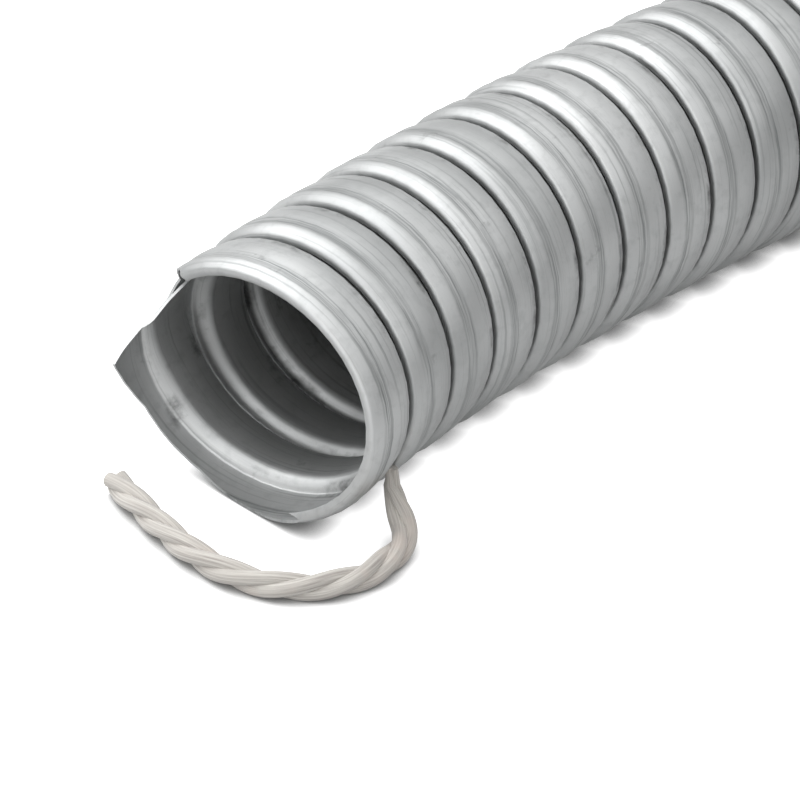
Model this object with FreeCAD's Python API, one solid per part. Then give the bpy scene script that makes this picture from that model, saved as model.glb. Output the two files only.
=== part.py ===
"""Interlocked flexible metal conduit with cotton packing: one foot cut from a coil.

A galvanised strip with a Z-shaped section is wound left-handed. Each turn's outer leg
hooks over the inner leg of the turn before it. The conduit lies on the floor, z = 0,
bent at its near end and straight along +X after that. Lengths are millimetres and
angles are degrees. The side angle runs round the conduit: 0 on the -Y side, 90 on top
and 180 on the +Y side. A turn's web, where its outer leg ends, is its place along the
conduit.
"""
import FreeCAD, Part
import math
import os

# Conduit
OUTER_DIAMETER = 30.8
BORE_DIAMETER = 25.8
LENGTH = 304.8
PITCH = 8.0
BEND_RADIUS = 490.0
BENT_LENGTH = 150.0

# The near end is a little flattened, and round again further along
NEAR_SQUASH = 0.12
SQUASH_FADE_LENGTH = 31.0
WIDENING_PER_SQUASH = 0.8

# Section of the strip
STRIP_THICKNESS = 0.3
GROOVE_WIDTH = 1.0
SHOULDER_LENGTH = 2.0
SHOULDER_DROP = 1.0
OUTER_LIP_DEPTH = 1.7
WEB_LEAN = 0.9
INNER_LEG_LENGTH = 5.4
INNER_LIP_HEIGHT = 1.7

# Tail, where the strip starts: cut across on a slant, and its lip sheared off
TAIL_CUT_ANGLE = 175.0
TAIL_CUT_SLANT = 5.0
TAIL_LEG_LENGTH = 3.0
LIP_STARTS_ANGLE = 250.0
LIP_WHOLE_ANGLE = 305.0

# Free end of the packing cord, as points ahead, to the left and above the floor,
# seen from the near end of the conduit's axis
CORD_DIAMETER = 3.0
CORD_EXIT_ANGLE = 325.0
CORD_STANDOFF = 0.9
CORD_ROUTE = [
    (6.7, -16.9, 2.3),
    (3.9, -18.6, 1.5),
    (-0.2, -19.2, 1.5),
    (-4.2, -18.6, 1.5),
    (-7.4, -16.8, 1.5),
    (-9.9, -14.2, 1.5),
    (-11.5, -10.8, 1.5),
    (-11.9, -6.4, 1.5),
    (-10.9, -1.4, 1.5),
    (-9.0, 3.6, 1.5),
    (-6.9, 8.5, 1.5),
    (-5.2, 12.2, 1.5),
]
ARC_SHARE_OF_RUN = 0.45

POINTS_PER_TURN = 16

outer_radius = OUTER_DIAMETER / 2
bore_radius = BORE_DIAMETER / 2
outer_leg_length = PITCH - GROOVE_WIDTH
up = FreeCAD.Vector(0, 0, 1)


def squash_at(distance):
    """Share of its height that the conduit loses at a distance from the near end."""
    return NEAR_SQUASH * math.exp(-max(distance, 0) / SQUASH_FADE_LENGTH)


def axis_at(distance):
    """Point on the conduit's axis, and the direction to its left."""
    turn = max(BENT_LENGTH - distance, 0) / BEND_RADIUS
    point = FreeCAD.Vector(-math.sin(turn), math.cos(turn) - 1, 0) * BEND_RADIUS
    point.x += max(distance - BENT_LENGTH, 0)
    point.z = outer_radius * (1 - squash_at(distance))
    return point, FreeCAD.Vector(-math.sin(turn), math.cos(turn), 0)


def on_conduit(distance, radius, angle):
    """Point at a distance along the axis, a radius from it and a side angle."""
    point, left = axis_at(distance)
    squash = squash_at(distance)
    a = math.radians(angle)
    sideways = radius * math.cos(a) * (1 + WIDENING_PER_SQUASH * squash)
    upward = radius * math.sin(a) * (1 - squash)
    return point - left * sideways + up * upward


def web_place(angle):
    """Distance along the axis of the strip's web at an angle that counts every turn."""
    return PITCH * angle / 360


def offset_line(points, distance):
    """Shift an open line of (along, radius) points sideways, with mitred corners."""
    normals = []
    for (x0, r0), (x1, r1) in zip(points, points[1:]):
        size = math.hypot(x1 - x0, r1 - r0)
        normals.append(((r0 - r1) / size, (x1 - x0) / size))
    shifted = []
    for i, (x, r) in enumerate(points):
        a = normals[max(i - 1, 0)]
        b = normals[min(i, len(normals) - 1)]
        stretch = distance / (1 + a[0] * b[0] + a[1] * b[1])
        shifted.append((x + (a[0] + b[0]) * stretch, r + (a[1] + b[1]) * stretch))
    return shifted


def strip_section(lip_share):
    """Corners of the strip's section round its web, with the outer lip sheared or whole."""
    half = STRIP_THICKNESS / 2
    crest = outer_radius - half
    lip_place = half - outer_leg_length
    whole_lip = [
        (lip_place, outer_radius - OUTER_LIP_DEPTH),
        (lip_place, crest - SHOULDER_DROP),
        (lip_place + SHOULDER_LENGTH, crest),
    ]
    third = SHOULDER_LENGTH / 3
    sheared = [(-TAIL_LEG_LENGTH + third * i, crest) for i in range(3)]
    lip = [
        (a[0] + (b[0] - a[0]) * lip_share, a[1] + (b[1] - a[1]) * lip_share)
        for a, b in zip(sheared, whole_lip)
    ]
    leg_end = WEB_LEAN + INNER_LEG_LENGTH - half
    middle = lip + [
        (-half, crest),
        (WEB_LEAN - half, bore_radius + half),
        (leg_end, bore_radius + half),
        (leg_end, bore_radius + INNER_LIP_HEIGHT),
    ]
    outside = offset_line(middle, half)
    inside = offset_line(middle, -half)
    return outside + inside[::-1]


def lip_share_at(angle):
    """How much of the outer lip the strip has at an angle: none at its tail."""
    share = (angle - LIP_STARTS_ANGLE) / (LIP_WHOLE_ANGLE - LIP_STARTS_ANGLE)
    return min(max(share, 0), 1)


def corner_point(corner, angle):
    """Where one corner of the section lies at an angle that counts every turn."""
    along, radius = strip_section(lip_share_at(angle))[corner]
    return on_conduit(web_place(angle) + along, radius, angle)


def corner_edge(corner, first_angle, last_angle):
    """Smooth edge that one corner of the section draws between two angles."""
    count = max(4, round(POINTS_PER_TURN * (last_angle - first_angle) / 360))
    angles = [first_angle + (last_angle - first_angle) * i / count for i in range(count + 1)]
    points = [corner_point(corner, angle) for angle in angles]
    step = 0.01
    ends = [
        (corner_point(corner, a + step) - corner_point(corner, a - step)) / (2 * step)
        for a in (first_angle, last_angle)
    ]
    curve = Part.BSplineCurve()
    curve.interpolate(
        Points=points, Parameters=angles, InitialTangent=ends[0], FinalTangent=ends[1], Scale=False
    )
    return curve.toShape()


def cut_face(edges, at_start):
    """Flat pieces that close the strip's section at one of its cut ends."""
    points = [edge.Vertexes[0 if at_start else -1].Point for edge in edges]
    last = len(points) - 1
    faces = []
    for i in range(last // 2):
        corners = [points[i], points[i + 1], points[last - i - 1], points[last - i]]
        for a, b, c in ((0, 1, 2), (0, 2, 3)):
            triangle = [corners[a], corners[b], corners[c], corners[a]]
            faces.append(Part.Face(Part.makePolygon(triangle)))
    return faces


def strip():
    """The whole strip, turn by turn, as one solid."""
    section = strip_section(1)
    corners = range(len(section))
    starts = [TAIL_CUT_ANGLE - TAIL_CUT_SLANT * strip_section(0)[i][0] for i in corners]
    last_web = LENGTH - WEB_LEAN - INNER_LEG_LENGTH
    last_angle = 360 * last_web / PITCH
    joints = [360 * i for i in range(1, int(last_angle // 360) + 1)] + [last_angle]
    faces = []
    spans = []
    for i, end in enumerate(joints):
        begins = starts if i == 0 else [joints[i - 1]] * len(section)
        edges = [corner_edge(corner, begins[corner], end) for corner in corners]
        spans.append(edges)
        for a, b in zip(edges, edges[1:] + edges[:1]):
            faces.append(Part.makeRuledSurface(a, b, 1))
    faces += cut_face(spans[0], True) + cut_face(spans[-1], False)
    shell = Part.makeShell(faces)
    shell.sewShape()
    solid = Part.makeSolid(shell)
    if solid.Volume < 0:
        solid.reverse()
    return solid


def rounded_path(points):
    """Straight runs through the points, joined by arcs that touch both runs."""
    pieces = []
    start = points[0]
    for before, corner, after in zip(points, points[1:], points[2:]):
        back = before - corner
        ahead = after - corner
        run = ARC_SHARE_OF_RUN * min(back.Length, ahead.Length)
        turn = math.pi - back.getAngle(ahead)
        print("cord arc radius %.1f at turn %.0f" % (run / math.tan(turn / 2), math.degrees(turn)))
        back.normalize()
        ahead.normalize()
        first = corner + back * run
        last = corner + ahead * run
        toward_arc = back + ahead
        toward_arc.normalize()
        radius = run / math.tan(turn / 2)
        middle = corner + toward_arc * (math.hypot(radius, run) - radius)
        pieces.append(Part.LineSegment(start, first).toShape())
        pieces.append(Part.Arc(first, middle, last).toShape())
        start = last
    pieces.append(Part.LineSegment(start, points[-1]).toShape())
    return Part.Wire(pieces)


def packing_cord():
    """The cord's free end: out of the first groove, down to the floor and round."""
    groove = web_place(CORD_EXIT_ANGLE) + GROOVE_WIDTH / 2
    beside_crest = outer_radius + CORD_STANDOFF
    near_point, left = axis_at(0)
    ahead = left.cross(up)
    points = [on_conduit(groove, beside_crest, CORD_EXIT_ANGLE)]
    for forward, to_left, height in CORD_ROUTE:
        place = near_point + ahead * forward + left * to_left
        points.append(FreeCAD.Vector(place.x, place.y, height))
    path = rounded_path(points)
    circle = Part.makeCircle(CORD_DIAMETER / 2, points[0], points[1] - points[0])
    tube = path.makePipeShell([Part.Wire(circle)], True, True)
    section = math.pi * CORD_DIAMETER**2 / 4
    print("cord length %.1f, volume share %.4f" % (path.Length, tube.Volume / (section * path.Length)))
    return tube


def main():
    steel = strip()
    cord = packing_cord()
    box = steel.BoundBox
    to_origin = FreeCAD.Vector(-box.Center.x, -box.Center.y, 0)
    os.makedirs("parts", exist_ok=True)
    for name, shape in (("steel_strip", steel), ("packing_cord", cord)):
        shape.translate(to_origin)
        shape.exportStep("parts/" + name + ".step")
        print(name, shape.ShapeType, shape.isValid(), "volume %.1f" % shape.Volume, shape.BoundBox)


main()
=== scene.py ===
# %% [markdown]
# # A piece of flexible metal conduit
# The object is one long galvanised strip, wound left-handed so that every turn hooks over
# the one before it, with a cotton packing cord whose loose end has come out of the cut end.
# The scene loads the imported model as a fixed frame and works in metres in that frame.

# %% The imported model
import bpy
import bmesh
import math
import random
from mathutils import Matrix, Vector


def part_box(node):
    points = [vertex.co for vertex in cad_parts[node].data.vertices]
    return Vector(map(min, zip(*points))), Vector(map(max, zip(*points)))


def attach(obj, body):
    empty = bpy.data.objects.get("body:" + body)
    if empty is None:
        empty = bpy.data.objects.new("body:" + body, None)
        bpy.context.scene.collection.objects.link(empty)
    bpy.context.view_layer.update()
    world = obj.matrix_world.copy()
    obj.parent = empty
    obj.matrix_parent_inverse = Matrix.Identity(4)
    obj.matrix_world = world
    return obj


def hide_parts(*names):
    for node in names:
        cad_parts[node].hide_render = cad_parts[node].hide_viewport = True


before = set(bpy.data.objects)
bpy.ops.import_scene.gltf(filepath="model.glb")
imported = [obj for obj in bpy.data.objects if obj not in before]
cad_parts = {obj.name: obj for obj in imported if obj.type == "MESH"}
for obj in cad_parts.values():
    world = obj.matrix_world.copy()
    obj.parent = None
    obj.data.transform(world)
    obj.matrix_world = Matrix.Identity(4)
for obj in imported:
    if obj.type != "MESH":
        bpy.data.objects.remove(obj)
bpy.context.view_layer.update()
strip_low, strip_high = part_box("steel_strip")
print("strip box", strip_low, strip_high)

# %% [markdown]
# ## Where the conduit runs
# The conduit lies on the floor. Its axis is an arc at the near end and a straight run along
# +X after that. Everything on it is placed by three numbers: the distance along the axis,
# the radius, and the side angle, which is 0 on the -Y side and 90 degrees on top. One
# function turns these into a point, so the strip and the cord share it.

# %% Sizes in millimetres, and the place of a point on the conduit
MM = 0.001
OUTER_RADIUS = 15.4
PITCH = 8.0
LENGTH = 304.8
BEND_RADIUS = 490.0
BENT_LENGTH = 150.0
NEAR_SQUASH = 0.12
SQUASH_FADE_LENGTH = 31.0
WIDENING_PER_SQUASH = 0.8
TURN_DEGREES = 360

straight_length = LENGTH - BENT_LENGTH
bend_end = Vector((strip_high[0] / MM - straight_length, strip_high[1] / MM - OUTER_RADIUS, 0))
print("the straight run starts at", bend_end)


def squash_at(distance):
    """Share of its height that the conduit has lost where its end was cut off."""
    return NEAR_SQUASH * math.exp(-max(distance, 0) / SQUASH_FADE_LENGTH)


def axis_at(distance):
    """Point on the axis and the direction to its left, for a distance from the near end."""
    turn = max(BENT_LENGTH - distance, 0) / BEND_RADIUS
    point = bend_end + Vector((-math.sin(turn), math.cos(turn) - 1, 0)) * BEND_RADIUS
    point.x += max(distance - BENT_LENGTH, 0)
    point.z = OUTER_RADIUS * (1 - squash_at(distance))
    return point, Vector((-math.sin(turn), math.cos(turn), 0))


def on_conduit(distance, radius, turns):
    """Point of the frame, in metres, from a distance, a radius and a number of turns."""
    point, left = axis_at(distance)
    angle = turns * math.tau
    squash = squash_at(distance)
    sideways = radius * math.cos(angle) * (1 + WIDENING_PER_SQUASH * squash)
    upward = radius * math.sin(angle) * (1 - squash)
    return (point - left * sideways + Vector((0, 0, upward))) * MM


near_point, near_left = axis_at(0)
near_ahead = Vector((near_left.y, -near_left.x, 0))


def from_near_end(forward, to_left, height):
    """Point of the frame, in metres, seen from the near end, at a height above the floor."""
    place = near_point + near_ahead * forward + near_left * to_left
    return Vector((place.x, place.y, height)) * MM


# %% [markdown]
# ## Camera
# The photograph looks down on the open end from the front left with a long lens. The
# camera's place and angles were worked out from the spacing and the curve of the turns.

# %% The camera
CAMERA_PLACE = (-403.0, -278.3, 311.6)
CAMERA_HEADING = 32.7
CAMERA_DOWN = 31.2
CAMERA_ROLL = 3.8
CAMERA_FIELD = 8.33

near_heading = math.degrees(math.atan2(near_ahead.y, near_ahead.x))
camera_data = bpy.data.cameras.new("camera")
camera_data.angle = math.radians(CAMERA_FIELD)
camera_data.clip_start = 0.01
camera = bpy.data.objects.new("camera", camera_data)
bpy.context.collection.objects.link(camera)
camera.matrix_world = (
    Matrix.Translation(from_near_end(*CAMERA_PLACE))
    @ Matrix.Rotation(math.radians(near_heading + CAMERA_HEADING - 90), 4, "Z")
    @ Matrix.Rotation(math.radians(90 - CAMERA_DOWN), 4, "X")
    @ Matrix.Rotation(math.radians(CAMERA_ROLL), 4, "Z")
)
bpy.context.scene.camera = camera

# %% [markdown]
# ## Materials
# A material is a small network of nodes. A helper adds a node and sets its values, so that
# each finish below reads as a short list of what it is made of.

# %% A helper for node materials
class Finish:
    """A material with its node tree, and a short way to add and join nodes."""

    def __init__(self, name):
        self.material = bpy.data.materials.new(name)
        self.material.use_nodes = True
        self.tree = self.material.node_tree
        self.surface = self.tree.nodes["Principled BSDF"]

    def add(self, kind, **values):
        """Adds a node. Names of sockets get values, links or both; others are settings."""
        node = self.tree.nodes.new("ShaderNode" + kind)
        for key, value in values.items():
            socket = node.inputs.get(key.replace("_", " ").title().replace("Of", "of"))
            if socket is None:
                setattr(node, key, value)
            elif isinstance(value, bpy.types.NodeSocket):
                self.tree.links.new(value, socket)
            else:
                socket.default_value = value
        return node

    def join(self, source, name):
        """Feeds a socket of the surface shader."""
        self.tree.links.new(source, self.surface.inputs[name])

    def mix(self, share, first, second):
        """A colour between two, which may be colours or sockets."""
        node = self.tree.nodes.new("ShaderNodeMix")
        node.data_type = "RGBA"
        for socket, value in zip((node.inputs[0], node.inputs[6], node.inputs[7]), (share, first, second)):
            if isinstance(value, bpy.types.NodeSocket):
                self.tree.links.new(value, socket)
            else:
                socket.default_value = value
        return node.outputs[2]

    def ramp(self, source, low, high):
        """A value from 0 to 1 as the source goes from low to high."""
        node = self.add("MapRange")
        self.tree.links.new(source, node.inputs["Value"])
        node.inputs["From Min"].default_value = low
        node.inputs["From Max"].default_value = high
        return node.outputs["Result"]

    def zone(self, source, low, high, fade):
        """A value of 1 where the source is between two numbers, and 0 a little outside."""
        rise = self.ramp(source, low - fade, low)
        fall = self.ramp(source, high + fade, high)
        return self.product(rise, fall)

    def product(self, first, second):
        """Two values multiplied. Either may be a socket or a number."""
        node = self.tree.nodes.new("ShaderNodeMath")
        node.operation = "MULTIPLY"
        for socket, value in zip(node.inputs, (first, second)):
            if isinstance(value, bpy.types.NodeSocket):
                self.tree.links.new(value, socket)
            else:
                socket.default_value = value
        return node.outputs[0]

    def noise(self, place, stretch, detail=3.0, roughness=0.5):
        """Noise on a place, stretched by three numbers."""
        mapping = self.tree.nodes.new("ShaderNodeMapping")
        mapping.inputs["Scale"].default_value = stretch
        self.tree.links.new(place, mapping.inputs["Vector"])
        node = self.tree.nodes.new("ShaderNodeTexNoise")
        node.inputs["Scale"].default_value = 1.0
        node.inputs["Detail"].default_value = detail
        node.inputs["Roughness"].default_value = roughness
        self.tree.links.new(mapping.outputs[0], node.inputs["Vector"])
        return node.outputs["Fac"]


# %% [markdown]
# ## Galvanised strip
# The rolled zinc is a soft metal grey. Rolling leaves fine lines along the strip, and
# handling leaves long rubs and a few dark smudges. Painted shade darkens the strip in
# patches along its far edge, where the band turns down into the seam, and in streaks along
# the shallow valley behind the ridge, where rubs also run. The strip carries a UV map that
# was made while it was still flat, in millimetres: U runs along the strip and V across it,
# so lines follow the winding. Patches that don't follow the strip read Object coordinates.

# %% The zinc
zinc = Finish("galvanised_zinc")
flat_place = zinc.add("UVMap", uv_map="strip").outputs[0]
round_place = zinc.add("TexCoord").outputs["Object"]
rolling = zinc.noise(flat_place, (0.05, 9.0, 1.0), detail=4.0, roughness=0.6)
rubs = zinc.noise(flat_place, (0.035, 1.6, 1.0), detail=3.0)
across = zinc.add("SeparateXYZ", Vector=flat_place).outputs["Y"]
smudge_and_shade_noise = zinc.noise(round_place, (170.0, 170.0, 170.0), detail=5.0, roughness=0.65)
cloud = zinc.noise(round_place, (60.0, 60.0, 60.0), detail=2.0)
mottle = zinc.noise(round_place, (700.0, 700.0, 700.0), detail=3.0, roughness=0.6)
streaks = zinc.noise(flat_place, (0.09, 3.2, 1.0), detail=4.0, roughness=0.6)
LIGHT_ZINC = (0.55, 0.56, 0.56, 1)
DARK_ZINC = (0.43, 0.44, 0.44, 1)
MOTTLED_ZINC = (0.36, 0.37, 0.37, 1)
# Rubbed zinc, also used as painted shade in the valley behind the ridge.
RUBBED_AND_SHADED_ZINC = (0.24, 0.25, 0.25, 1)
# Smudge colour, also used as painted shade along the seam.
SMUDGE_AND_SEAM_SHADE = (0.07, 0.07, 0.07, 1)
tone = zinc.mix(zinc.ramp(cloud, 0.35, 0.65), DARK_ZINC, LIGHT_ZINC)
tone = zinc.mix(zinc.ramp(mottle, 0.50, 1.05), tone, MOTTLED_ZINC)
tone = zinc.mix(zinc.ramp(rubs, 0.56, 0.80), tone, RUBBED_AND_SHADED_ZINC)
tone = zinc.mix(zinc.ramp(rolling, 0.60, 0.92), tone, RUBBED_AND_SHADED_ZINC)
VALLEY_SHADE_ZONE = (-5.0, -3.9)
SEAM_SHADE_ZONE = (-0.2, 2.0)
# Painted shade: streaks darken the shallow valley behind the ridge, which also carries rubs.
ridge_valley_shade = zinc.zone(across, *VALLEY_SHADE_ZONE, fade=0.5)
tone = zinc.mix(zinc.product(ridge_valley_shade, zinc.ramp(streaks, 0.42, 0.66)), tone, RUBBED_AND_SHADED_ZINC)
# Painted shade: dark patches along the far edge, where the band turns down into the seam.
seam_edge_shade = zinc.zone(across, *SEAM_SHADE_ZONE, fade=0.6)
tone = zinc.mix(zinc.product(seam_edge_shade, zinc.ramp(smudge_and_shade_noise, 0.50, 0.72)), tone, SMUDGE_AND_SEAM_SHADE)
tone = zinc.mix(zinc.ramp(smudge_and_shade_noise, 0.64, 0.84), tone, SMUDGE_AND_SEAM_SHADE)
zinc.join(tone, "Base Color")
zinc.surface.inputs["Metallic"].default_value = 0.8
roughness = zinc.add("MapRange")
zinc.tree.links.new(rolling, roughness.inputs["Value"])
roughness.inputs["To Min"].default_value = 0.38
roughness.inputs["To Max"].default_value = 0.56
zinc.join(roughness.outputs[0], "Roughness")
bump = zinc.add("Bump", strength=0.25, distance=0.00004)
zinc.tree.links.new(rolling, bump.inputs["Height"])
zinc.join(bump.outputs[0], "Normal")
print("zinc has", len(zinc.tree.nodes), "nodes")

# %% [markdown]
# ## The strip's profile
# In section the strip is a flattened Z. From the near side: a curled lip, a rounded
# shoulder, a broad band that falls slightly away, the web that goes inwards, the inner leg,
# and an inner lip. It is drawn as a wire of a few vertices whose corners are rounded with
# a vertex bevel, which is how the rolls round them.

# %% The profile wire
PROFILE = [
    (-6.70, 13.80, 0.0),
    (-7.15, 14.60, 0.30),
    (-6.25, 15.14, 0.45),
    (-5.60, 15.22, 0.30),
    (-4.70, 15.12, 0.40),
    (-2.80, 15.16, 0.80),
    (-0.25, 14.74, 0.20),
    (0.00, 14.10, 0.20),
    (0.75, 13.05, 0.50),
    (3.00, 13.14, 0.0),
    (6.15, 13.05, 0.35),
    (6.15, 14.50, 0.0),
]
START_TURN = 0.36
LAST_TURN = (LENGTH - 6.3) / PITCH
STEPS_PER_TURN = 42
CORNER_SEGMENTS = 2


def profile_wire(mesh):
    """Lays the profile down as a wire: Y runs along the conduit and Z is the radius."""
    corners = [mesh.verts.new((START_TURN, along, radius)) for along, radius, _ in PROFILE]
    for first, second in zip(corners, corners[1:]):
        mesh.edges.new((first, second))
    for corner, (_, _, rounding) in zip(corners, PROFILE):
        if rounding > 0:
            bmesh.ops.bevel(
                mesh, geom=[corner], offset=rounding, segments=CORNER_SEGMENTS,
                profile=0.5, affect="VERTICES", material=-1,
            )


strip = bmesh.new()
profile_wire(strip)
print("profile of", len(strip.verts), "vertices")

# %% [markdown]
# ## Rolling it out
# The strip is first made unrolled: X counts turns, so drawing the wire out along X gives a
# straight ribbon. Cuts are easy while it is flat. One plane cuts the start on a slant, and
# the lip is sheared off along two lines: the tail has none in the photograph, and the same
# straight snip has nicked the lip of the next turn.

# %% The unrolled strip
bmesh.ops.spin(
    strip, geom=strip.verts[:] + strip.edges[:], cent=(0, 0, 0), axis=(0, 0, 1),
    dvec=(1 / STEPS_PER_TURN, 0, 0), angle=0, steps=STEPS_PER_TURN, use_duplicate=False,
)
one_turn = strip.verts[:] + strip.edges[:] + strip.faces[:]
for count in range(1, math.ceil(LAST_TURN - START_TURN)):
    copied = bmesh.ops.duplicate(strip, geom=one_turn)["geom"]
    copied_verts = [item for item in copied if isinstance(item, bmesh.types.BMVert)]
    bmesh.ops.translate(strip, verts=copied_verts, vec=(count, 0, 0))
bmesh.ops.remove_doubles(strip, verts=strip.verts[:], dist=0.0005)
bmesh.ops.bisect_plane(
    strip, geom=strip.verts[:] + strip.edges[:] + strip.faces[:],
    plane_co=(LAST_TURN, 0, 0), plane_no=(1, 0, 0), clear_outer=True,
)
TAIL_CUT_TURN = 174.5 / TURN_DEGREES
TAIL_CUT_SLANT = 2.8 / TURN_DEGREES
TAIL_SHEAR = [(180, -4.9), (186, -4.5), (212, -2.6), (246, -3.0), (305, -7.3)]
RING_SHEAR = [(494, -8.4), (496, -6.6), (520, -2.6), (530, -3.6), (538, -6.6), (575, -6.6), (578, -8.4)]
LEG_FROM = -1.5
SLIVER = 0.0001


def leg_between(mesh, first_turn, last_turn):
    """The outer leg's faces between two places along the strip."""
    faces = []
    for face in mesh.faces:
        centre = face.calc_center_median()
        if first_turn < centre.x < last_turn and centre.y < LEG_FROM:
            faces.append(face)
    return faces


def cut(mesh, faces, point, normal):
    """Cuts faces along a plane, with no part taken away."""
    edges = {edge for face in faces for edge in face.edges}
    verts = {vert for face in faces for vert in face.verts}
    bmesh.ops.bisect_plane(
        mesh, geom=faces + list(edges) + list(verts), dist=SLIVER, plane_co=point, plane_no=normal,
    )


def shear(mesh, line):
    """Cuts the lip away below a line of (degrees along, millimetres across) points."""
    corners = [Vector((angle / TURN_DEGREES, place, 0)) for angle, place in line]
    step = 1 / STEPS_PER_TURN
    for corner in corners:
        cut(mesh, leg_between(mesh, corner.x - step, corner.x + step), corner, (1, 0, 0))
    sheared_off = []
    for start, end in zip(corners, corners[1:]):
        above = Vector((start.y - end.y, end.x - start.x, 0))
        cut(mesh, leg_between(mesh, start.x, end.x), start, above)
        for face in leg_between(mesh, start.x, end.x):
            if (face.calc_center_median() - start).dot(above) < 0:
                sheared_off.append(face)
    bmesh.ops.delete(mesh, geom=sheared_off, context="FACES")


everything = strip.verts[:] + strip.edges[:] + strip.faces[:]
bmesh.ops.bisect_plane(
    strip, geom=everything, plane_co=(TAIL_CUT_TURN, 0, 0), plane_no=(1, TAIL_CUT_SLANT, 0),
    clear_inner=True,
)
shear(strip, TAIL_SHEAR)
shear(strip, RING_SHEAR)
loose = [edge for edge in strip.edges if not edge.link_faces]
print("loose edges", len(loose))
bmesh.ops.delete(strip, geom=loose, context="EDGES")
print("unrolled strip of", len(strip.faces), "faces")

# %% [markdown]
# ## Winding it up
# Before the ribbon is wound, its flat place is kept as the UV map. Then every vertex goes
# where its turn, its distance and its radius say. The sheet gets its thickness last, and
# the rims of the sheet are kept sharp, so that the cut edges catch the light as thin lines.

# %% The wound strip
uv_map = strip.loops.layers.uv.new("strip")
SHOULDER_PLACE = -6.0
for face in strip.faces:
    for loop in face.loops:
        turns, along, radius = loop.vert.co
        depth = OUTER_RADIUS - radius
        across = along - depth if along < SHOULDER_PLACE else along + depth
        loop[uv_map].uv = (turns * math.tau * OUTER_RADIUS, across)
TAIL_FLATNESS = 0.7
FLAT_RADIUS = 14.9
FLAT_UNTIL = 165 / TURN_DEGREES
WHOLE_FROM = 215 / TURN_DEGREES


def flatness_at(turns):
    """How far the snips have flattened the strip: most at its cut end, then none."""
    share = min(max((WHOLE_FROM - turns) / (WHOLE_FROM - FLAT_UNTIL), 0), 1)
    return TAIL_FLATNESS * share * share * (3 - 2 * share)


for vert in strip.verts:
    turns, along, radius = vert.co
    if radius < FLAT_RADIUS:
        radius += (FLAT_RADIUS - radius) * flatness_at(turns)
    vert.co = on_conduit(PITCH * turns + along, radius, turns)
bmesh.ops.recalc_face_normals(strip, faces=strip.faces[:])
strip_mesh = bpy.data.meshes.new("wound_strip")
strip.to_mesh(strip_mesh)
strip.free()
strip_mesh.shade_smooth()
wound_strip = bpy.data.objects.new("wound_strip", strip_mesh)
bpy.context.collection.objects.link(wound_strip)
thickness = wound_strip.modifiers.new("thickness", "SOLIDIFY")
thickness.thickness = 0.3 * MM
thickness.offset = 0
wound_strip.data.materials.append(zinc.material)
depsgraph = bpy.context.evaluated_depsgraph_get()
thick_mesh = bpy.data.meshes.new_from_object(wound_strip.evaluated_get(depsgraph))
wound_strip.modifiers.clear()
wound_strip.data = thick_mesh
SHARP_ANGLE = 50
thick_mesh.set_sharp_from_angle(angle=math.radians(SHARP_ANGLE))
print("wound strip of", sum(len(face.vertices) - 2 for face in thick_mesh.polygons), "triangles")
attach(wound_strip, "root")
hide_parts("steel_strip")

# %% [markdown]
# ## Cotton packing cord
# The loose end is a soft cord of three yarns with a long twist. The route is the list of
# points that the solid tube also follows, drawn as one smooth spline. The yarns wind round
# points read from that spline.

# %% The cord's route
CORD_EXIT_TURN = 325 / TURN_DEGREES
GROOVE_WIDTH = 1.0
CORD_STANDOFF = 0.9
CORD_ROUTE = [
    (6.7, -16.9, 2.3),
    (3.9, -18.6, 1.5),
    (-0.2, -19.2, 1.5),
    (-4.2, -18.6, 1.5),
    (-7.4, -16.8, 1.5),
    (-9.9, -14.2, 1.5),
    (-11.5, -10.8, 1.5),
    (-11.9, -6.4, 1.5),
    (-10.9, -1.4, 1.5),
    (-9.0, 3.6, 1.5),
    (-6.9, 8.5, 1.5),
    (-5.2, 12.2, 1.5),
]
TUCKED_TURN = 332 / TURN_DEGREES
TUCKED_DEPTH = 0.5
groove = PITCH * CORD_EXIT_TURN + GROOVE_WIDTH / 2
cord_exit = on_conduit(groove, OUTER_RADIUS + CORD_STANDOFF, CORD_EXIT_TURN)
route_points = [cord_exit] + [from_near_end(*point) for point in CORD_ROUTE]
route_curve = bpy.data.curves.new("cord_route", "CURVE")
route_curve.dimensions = "3D"
route_curve.resolution_u = 12
route = route_curve.splines.new("NURBS")
route.points.add(len(route_points) - 1)
for point, place in zip(route.points, route_points):
    point.co = (*place, 1)
route.order_u = 3
route.use_endpoint_u = True
route_object = bpy.data.objects.new("cord_route", route_curve)
bpy.context.collection.objects.link(route_object)
route_mesh = bpy.data.meshes.new_from_object(route_object)
cord_line = [vert.co.copy() for vert in route_mesh.vertices]
bpy.data.objects.remove(route_object)
bpy.data.meshes.remove(route_mesh)

# %% [markdown]
# Cotton is matt and slightly warm. Fine fibres run along each yarn, which a stretched noise
# on the yarn's own UV map draws, with a sheen at the edges from loose fibres.

# %% The cotton
cotton = Finish("packing_cotton")
yarn_place = cotton.add("TexCoord").outputs["UV"]
cotton_place = cotton.add("TexCoord").outputs["Object"]
fibres = cotton.noise(yarn_place, (6.0, 22.0, 1.0), detail=5.0, roughness=0.65)
tint = cotton.noise(cotton_place, (160.0, 160.0, 160.0), detail=3.0)
COTTON_LIGHT = (0.58, 0.56, 0.52, 1)
COTTON_DARK = (0.30, 0.27, 0.25, 1)
COTTON_WARM = (0.54, 0.47, 0.42, 1)
cotton_tone = cotton.mix(cotton.ramp(fibres, 0.32, 0.62), COTTON_DARK, COTTON_LIGHT)
cotton_tone = cotton.mix(cotton.ramp(tint, 0.55, 0.80), cotton_tone, COTTON_WARM)
cotton.join(cotton_tone, "Base Color")
cotton.surface.inputs["Roughness"].default_value = 0.9
cotton.surface.inputs["Sheen Weight"].default_value = 0.4
cotton_bump = cotton.add("Bump", strength=0.6, distance=0.0001)
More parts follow.
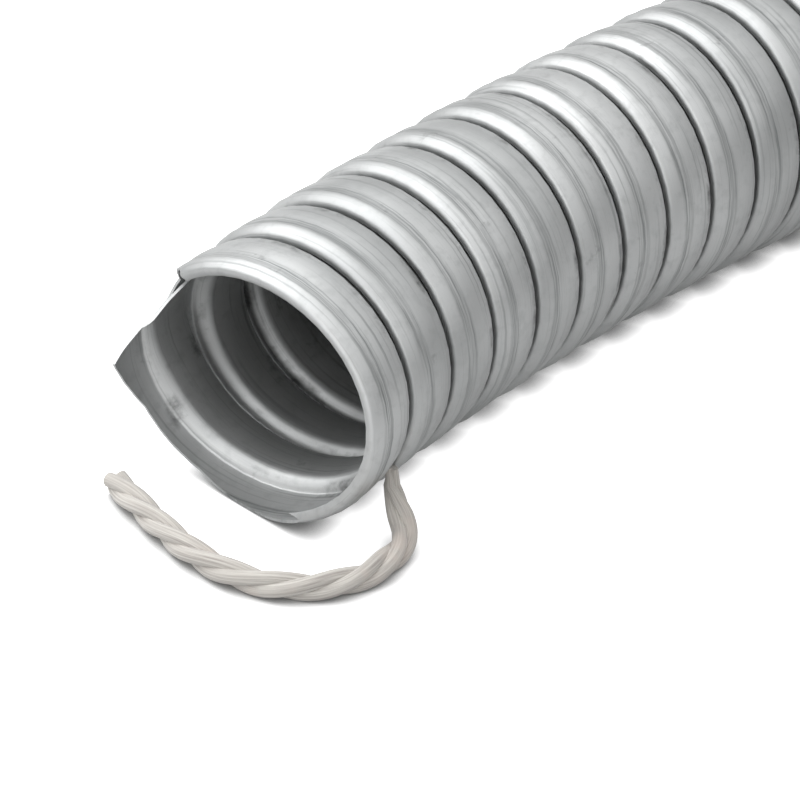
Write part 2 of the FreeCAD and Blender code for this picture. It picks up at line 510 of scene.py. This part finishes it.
cotton.tree.links.new(fibres, cotton_bump.inputs["Height"])
cotton.join(cotton_bump.outputs[0], "Normal")

# %% [markdown]
# Each yarn is a curve with a round bevel that circles the route. Its radius grows from the
# squeezed exit to the full size. The three yarns are then joined into one mesh.

# %% The yarns
YARNS = 3
YARN_RADIUS = 0.82
YARN_CIRCLE = 0.70
TWIST_LENGTH = 17.0
SQUEEZED_LENGTH = 6.0
SQUEEZED_SHARE = 0.5
YARN_SIDES = 4


def along_line(points):
    """Distance of each point from the first, in millimetres."""
    distances = [0.0]
    for first, second in zip(points, points[1:]):
        distances.append(distances[-1] + (second - first).length / MM)
    return distances


def swelling(distance):
    """Share of its full thickness that the cord has at a distance from its exit."""
    share = min(distance / SQUEEZED_LENGTH, 1)
    return SQUEEZED_SHARE + (1 - SQUEEZED_SHARE) * share * share * (3 - 2 * share)


tucked = PITCH * TUCKED_TURN + GROOVE_WIDTH / 2
yarn_line = [on_conduit(tucked, OUTER_RADIUS - TUCKED_DEPTH, TUCKED_TURN)] + cord_line
distances = along_line(yarn_line)
joined = bmesh.new()
for yarn in range(YARNS):
    curve = bpy.data.curves.new("yarn", "CURVE")
    curve.dimensions = "3D"
    curve.bevel_depth = YARN_RADIUS * MM
    curve.bevel_resolution = YARN_SIDES
    curve.use_fill_caps = True
    spline = curve.splines.new("POLY")
    spline.points.add(len(yarn_line) - 1)
    for i, (place, distance) in enumerate(zip(yarn_line, distances)):
        ahead = yarn_line[min(i + 1, len(yarn_line) - 1)] - yarn_line[max(i - 1, 0)]
        ahead.normalize()
        side = ahead.cross(Vector((0, 0, 1))).normalized()
        over = side.cross(ahead)
        angle = math.tau * (yarn / YARNS + distance / TWIST_LENGTH)
        reach = YARN_CIRCLE * MM * swelling(distance)
        centre = place + (side * math.cos(angle) + over * math.sin(angle)) * reach
        spline.points[i].co = (*centre, 1)
        spline.points[i].radius = swelling(distance)
    yarn_object = bpy.data.objects.new("yarn", curve)
    bpy.context.collection.objects.link(yarn_object)
    yarn_mesh = bpy.data.meshes.new_from_object(yarn_object)
    joined.from_mesh(yarn_mesh)
    bpy.data.objects.remove(yarn_object)
    bpy.data.meshes.remove(yarn_mesh)
cord_mesh = bpy.data.meshes.new("cotton_cord")
joined.to_mesh(cord_mesh)
joined.free()
cord_mesh.shade_smooth()
cotton_cord = bpy.data.objects.new("cotton_cord", cord_mesh)
bpy.context.collection.objects.link(cotton_cord)
cotton_cord.data.materials.clear()
cotton_cord.data.materials.append(cotton.material)
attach(cotton_cord, "root")
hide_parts("packing_cord")

# %% [markdown]
# ## Floor and light
# The conduit lies on white under soft light from above. The floor glows white where the
# camera sees it and faintly in reflections; near the conduit the glow fades with ambient
# occlusion, so the soft shadow under it is partly real and partly painted. The world is a
# pale sky, darker towards the horizon.

# %% The floor
FLOOR_SIZE = 6.0
PAINTED_SHADOW_REACH = 0.003
SEEN_WHITE = 1.0
MIRRORED_WHITE = 0.12
floor_finish = Finish("white_floor")
floor_finish.surface.inputs["Base Color"].default_value = (0.50, 0.50, 0.50, 1)
floor_finish.surface.inputs["Roughness"].default_value = 0.9
# Painted shadow: within a few millimetres of the conduit the floor's glow fades with ambient occlusion.
nearness = floor_finish.add("AmbientOcclusion", samples=8)
nearness.inputs["Distance"].default_value = PAINTED_SHADOW_REACH
painted_shadow_ramp = floor_finish.ramp(nearness.outputs["AO"], 0.30, 0.90)
rays = floor_finish.add("LightPath")
mirrored = floor_finish.add("Math", operation="ADD", use_clamp=True)
floor_finish.tree.links.new(rays.outputs["Is Glossy Ray"], mirrored.inputs[0])
floor_finish.tree.links.new(rays.outputs["Is Transmission Ray"], mirrored.inputs[1])
seen = floor_finish.product(rays.outputs["Is Camera Ray"], SEEN_WHITE)
strength = floor_finish.add("Math", operation="ADD")
floor_finish.tree.links.new(seen, strength.inputs[0])
floor_finish.tree.links.new(floor_finish.product(mirrored.outputs[0], MIRRORED_WHITE), strength.inputs[1])
floor_finish.surface.inputs["Emission Color"].default_value = (1, 1, 1, 1)
floor_finish.join(floor_finish.product(strength.outputs[0], painted_shadow_ramp), "Emission Strength")
floor_bm = bmesh.new()
bmesh.ops.create_grid(floor_bm, x_segments=1, y_segments=1, size=FLOOR_SIZE / 2)
floor_mesh = bpy.data.meshes.new("floor")
floor_bm.to_mesh(floor_mesh)
floor_bm.free()
floor = bpy.data.objects.new("floor", floor_mesh)
floor.data.materials.append(floor_finish.material)
bpy.context.collection.objects.link(floor)

# %% The light
world = bpy.data.worlds.new("studio")
bpy.context.scene.world = world
world.use_nodes = True
sky = world.node_tree.nodes["Background"]
sky.inputs["Color"].default_value = (1, 1, 1, 1)
SKY_STRENGTH = 1.15
HORIZON_STRENGTH = 0.15
FULL_HEIGHT = 0.75
direction = world.node_tree.nodes.new("ShaderNodeTexCoord").outputs["Generated"]
height = world.node_tree.nodes.new("ShaderNodeSeparateXYZ")
brightness = world.node_tree.nodes.new("ShaderNodeMapRange")
brightness.inputs["From Max"].default_value = FULL_HEIGHT
brightness.inputs["To Min"].default_value = HORIZON_STRENGTH
brightness.inputs["To Max"].default_value = SKY_STRENGTH
world.node_tree.links.new(direction, height.inputs[0])
world.node_tree.links.new(height.outputs["Z"], brightness.inputs["Value"])
world.node_tree.links.new(brightness.outputs["Result"], sky.inputs["Strength"])


def lamp(name, place, size, power):
    """A square soft lamp that points at the near end."""
    data = bpy.data.lights.new(name, "AREA")
    data.size = size
    data.energy = power
    lamp_object = bpy.data.objects.new(name, data)
    lamp_object.location = place
    aim = Vector((0, 0, 0)) - Vector(place)
    lamp_object.rotation_mode = "QUATERNION"
    lamp_object.rotation_quaternion = aim.to_track_quat("-Z", "Y")
    bpy.context.collection.objects.link(lamp_object)


lamp("key", (-0.30, 0.65, 0.95), 1.5, 13.5)
lamp("mouth", (-1.05, -0.30, 0.40), 0.8, 3.0)
bpy.context.scene.view_settings.view_transform = "Standard"
